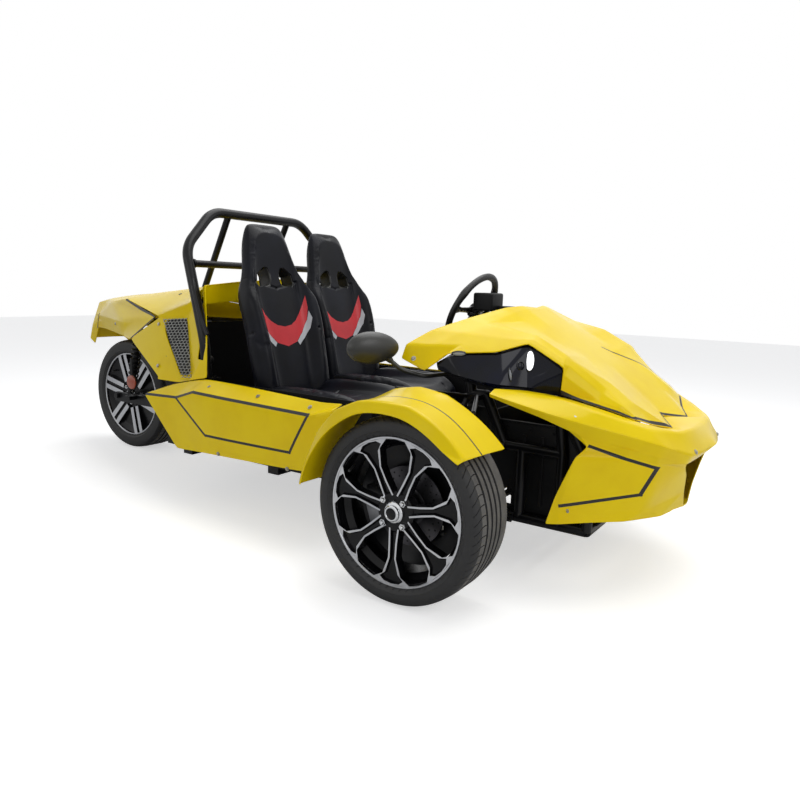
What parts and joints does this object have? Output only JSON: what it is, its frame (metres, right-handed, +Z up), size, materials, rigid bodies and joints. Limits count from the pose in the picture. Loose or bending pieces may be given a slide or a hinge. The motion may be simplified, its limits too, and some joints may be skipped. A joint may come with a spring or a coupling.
{
  "type": "three wheeled car",
  "caption": "Open two-seat three-wheeled roadster: two steered front wheels under arches, one driven rear wheel, faceted yellow body, roll hoop and bucket seats.",
  "frame": {"origin": "on the ground below the middle of the vehicle's length and width", "axes": "+X forward to the nose, +Y to the left, +Z up"},
  "size_m": [3.514, 1.808, 1.3225],
  "materials": {
    "yellow_gelcoat": "glossy lemon yellow gelcoat on glass fibre",
    "frame_paint": "semi-gloss black powder coat on steel tube",
    "tub_plastic": "satin black moulded plastic",
    "lamp_lens": "dark glossy lamp lens",
    "mesh_steel": "expanded steel mesh",
    "cast_alloy": "as-cast aluminium alloy",
    "machined_alloy": "machined aluminium",
    "radiator_alloy": "black coated aluminium core",
    "exhaust_steel": "brushed stainless steel",
    "spring_paint": "painted steel spring and damper",
    "tyre_rubber": "moulded tyre rubber",
    "wheel_alloy": "black painted alloy with machined edges",
    "disc_iron": "machined cast iron",
    "seat_vinyl": "stitched black vinyl with red and white inserts",
    "wheel_leather": "black leather steering wheel"
  },
  "bodies": {
    "root": {"bonnet": "yellow_gelcoat", "dashboard": "tub_plastic", "engine_block": "cast_alloy", "exhaust": "exhaust_steel", "fender_left": "yellow_gelcoat", "fender_right": "yellow_gelcoat", "fender_stays": "machined_alloy", "floor_tub": "tub_plastic", "front_arms": "frame_paint", "front_bumper": "yellow_gelcoat", "front_frame": "frame_paint", "front_shocks": "spring_paint", "headlamp_left": "lamp_lens", "headlamp_right": "lamp_lens", "main_frame": "frame_paint", "mirror_left": "tub_plastic", "mirror_right": "tub_plastic", "pedals": "machined_alloy", "radiator": "radiator_alloy", "rear_frame": "frame_paint", "rear_quarter_left": "yellow_gelcoat", "rear_quarter_right": "yellow_gelcoat", "rear_shocks": "spring_paint", "roll_hoop": "frame_paint", "seat_left": "seat_vinyl", "seat_right": "seat_vinyl", "side_panel_left": "yellow_gelcoat", "side_panel_right": "yellow_gelcoat", "steering_column": "frame_paint", "swingarm": "frame_paint", "tail_cover": "yellow_gelcoat", "vent_mesh": "mesh_steel"},
    "wheel_front_left": {"disc_front_left": "disc_iron", "rim_front_left": "wheel_alloy", "tyre_front_left": "tyre_rubber"},
    "wheel_front_right": {"disc_front_right": "disc_iron", "rim_front_right": "wheel_alloy", "tyre_front_right": "tyre_rubber"},
    "wheel_rear": {"disc_rear": "disc_iron", "rim_rear": "wheel_alloy", "tyre_rear": "tyre_rubber"},
    "knuckle_left": {"knuckle_left": "cast_alloy"},
    "knuckle_right": {"knuckle_right": "cast_alloy"},
    "steering_rack": {"steering_rack": "machined_alloy"},
    "steering_wheel": {"steering_wheel": "wheel_leather"},
    "tie_rod_left": {"tie_rod_left": "machined_alloy"},
    "tie_rod_right": {"tie_rod_right": "machined_alloy"}
  },
  "joints": [
    {"name": "steer_left", "type": "hinge", "parent": "root", "child": "knuckle_left", "pos_m": [0.995, 0.73, 0.302], "axis": [0, 0, 1], "range_deg": [-30, 30]},
    {"name": "steer_right", "type": "hinge", "parent": "root", "child": "knuckle_right", "pos_m": [0.995, -0.73, 0.302], "axis": [0, 0, 1], "range_deg": [-30, 30]},
    {"name": "rack_slide", "type": "slide", "parent": "root", "child": "steering_rack", "axis": [0, 1, 0], "range_m": [-0.056, 0.056]},
    {"name": "tie_rod_left_pivot", "type": "hinge", "parent": "knuckle_left", "child": "tie_rod_left", "pos_m": [1.105, 0.73, 0.25], "axis": [0, 0, 1], "range_deg": [-30.5, 30.5]},
    {"name": "tie_rod_right_pivot", "type": "hinge", "parent": "knuckle_right", "child": "tie_rod_right", "pos_m": [1.105, -0.73, 0.25], "axis": [0, 0, 1], "range_deg": [-30.5, 30.5]},
    {"name": "steering_wheel_turn", "type": "hinge", "parent": "root", "child": "steering_wheel", "pos_m": [0.655, 0.24, 0.9], "axis": [0.8829, 0, -0.4695], "range_deg": [-270, 270]},
    {"name": "wheel_front_left_spin", "type": "hinge", "parent": "knuckle_left", "child": "wheel_front_left", "pos_m": [0.995, 0.755, 0.302], "axis": [0, 1, 0], "continuous": true},
    {"name": "wheel_front_right_spin", "type": "hinge", "parent": "knuckle_right", "child": "wheel_front_right", "pos_m": [0.995, -0.755, 0.302], "axis": [0, 1, 0], "continuous": true},
    {"name": "wheel_rear_spin", "type": "hinge", "parent": "root", "child": "wheel_rear", "pos_m": [-1.385, 0, 0.318], "axis": [0, 1, 0], "continuous": true}
  ],
  "couplings": [
    {"joint": "steer_right", "follows": "steer_left", "ratio": 1},
    {"joint": "rack_slide", "follows": "steer_left", "m_per_rad": 0.10504},
    {"joint": "tie_rod_left_pivot", "follows": "steer_left", "ratio": -1},
    {"joint": "tie_rod_right_pivot", "follows": "steer_left", "ratio": -1},
    {"joint": "steering_wheel_turn", "follows": "steer_left", "ratio": -9}
  ]
}
